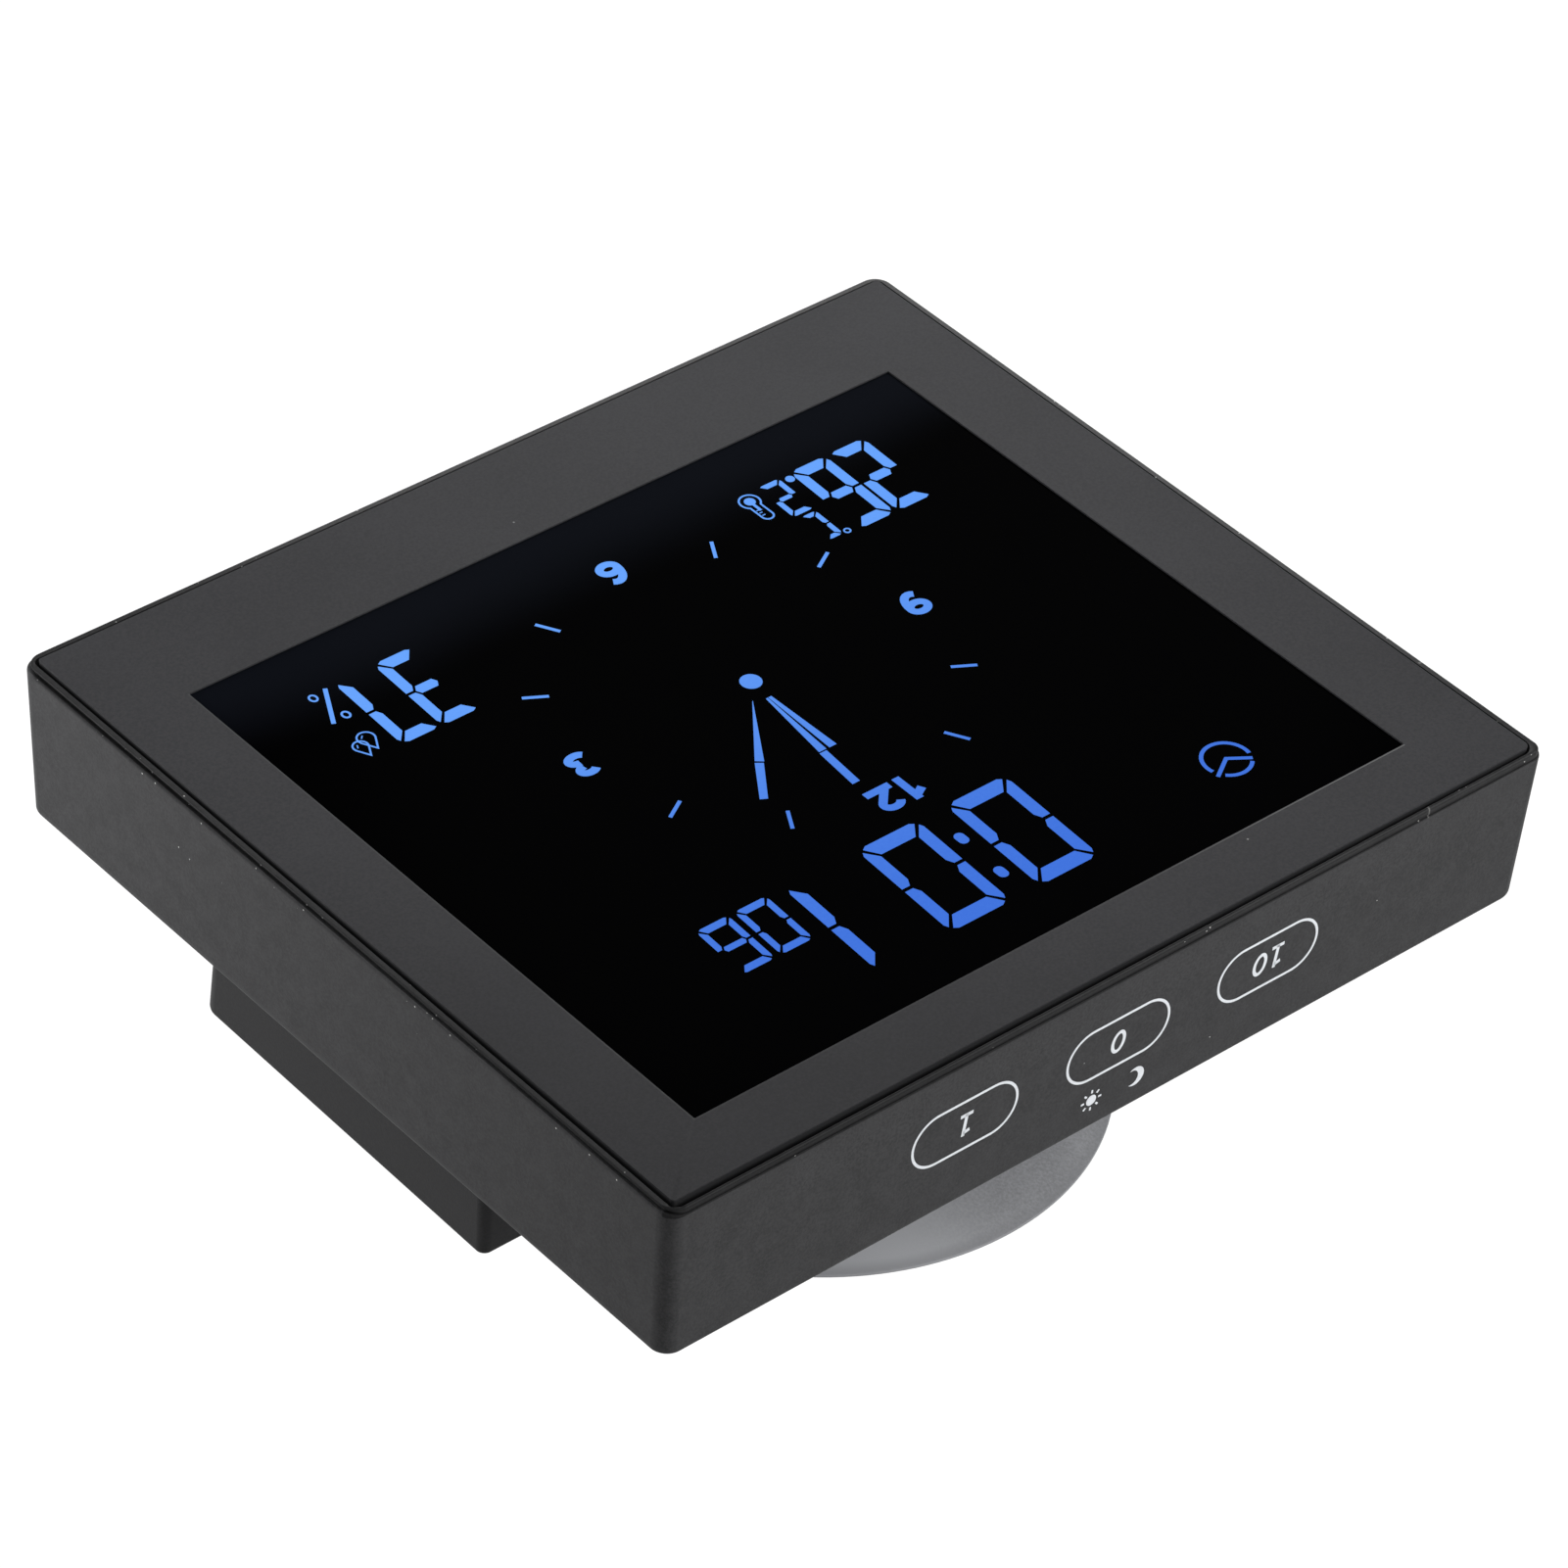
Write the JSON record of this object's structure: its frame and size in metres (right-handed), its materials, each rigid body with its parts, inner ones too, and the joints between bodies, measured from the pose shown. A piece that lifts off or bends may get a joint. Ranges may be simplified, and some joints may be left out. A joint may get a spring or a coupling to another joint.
{
  "type": "digital alarm clock",
  "caption": "Flat digital clock with a lit analogue-style display, touch keys, a battery pod and a suction cup.",
  "frame": {"origin": "centre of the bounding box in plan, on the plane of the suction cup's rim that the clock lies on", "axes": "+X towards three o'clock, +Y towards twelve o'clock, +Z out of the display"},
  "size_m": [0.12, 0.1076, 0.046],
  "materials": {
    "case_plastic": "fine satin texture, dark grey",
    "bezel_print": "matte dark grey print",
    "display_window": "glossy, near black",
    "seal_rubber": "matte black",
    "display_glass": "clear, faint blue",
    "light_guide": "clear, dotted back",
    "white_plastic": "satin white",
    "board": "green solder mask",
    "black_part": "matte black",
    "steel": "zinc plated",
    "foam": "matte dark grey foam",
    "cell_sleeve": "plain satin sleeve",
    "lead_red": "satin red",
    "lead_black": "satin black",
    "cup_rubber": "frosted mid grey",
    "plug_plastic": "satin grey"
  },
  "bodies": {
    "clock_body": {"case_shell": "case_plastic", "rear_cover": "case_plastic", "cover_seal": "seal_rubber", "display_lens": "display_window", "bezel_film": "bezel_print", "lens_gasket": "foam", "lcd_cell": "display_glass", "light_guide": "light_guide", "lcd_carrier": "white_plastic", "zebra_strip": "seal_rubber", "backlight_led_left": "white_plastic", "backlight_led_right": "white_plastic", "main_board": "board", "controller_chip": "black_part", "crystal": "steel", "capacitor": "black_part", "buzzer": "black_part", "climate_sensor": "white_plastic", "key_board": "board", "key_pad_left": "foam", "key_pad_middle": "foam", "key_pad_right": "foam", "key_ribbon": "foam", "battery_tray": "case_plastic", "cell_1": "cell_sleeve", "cell_spring_1": "steel", "cell_contact_1": "steel", "cell_2": "cell_sleeve", "cell_spring_2": "steel", "cell_contact_2": "steel", "cell_3": "cell_sleeve", "cell_spring_3": "steel", "cell_contact_3": "steel", "cell_4": "cell_sleeve", "cell_spring_4": "steel", "cell_contact_4": "steel", "battery_lead_positive": "lead_red", "battery_lead_negative": "lead_black", "case_screw_1": "steel", "case_screw_2": "steel", "case_screw_3": "steel", "case_screw_4": "steel", "board_screw_1": "steel", "board_screw_2": "steel", "board_screw_3": "steel", "board_screw_4": "steel", "tray_screw_1": "steel", "tray_screw_2": "steel"},
    "battery_door": {"battery_door": "case_plastic"},
    "suction_cup": {"suction_cup": "cup_rubber", "cup_plug": "plug_plastic"}
  },
  "joints": [
    {"name": "door_slide", "type": "slide", "parent": "clock_body", "child": "battery_door", "axis": [0, -1, 0], "range_m": [0, 0.026]},
    {"name": "cup_swivel", "type": "hinge", "parent": "clock_body", "child": "suction_cup", "pos_m": [0, 0.0075, 0.0122], "axis": [0, 0, 1], "continuous": true}
  ]
}
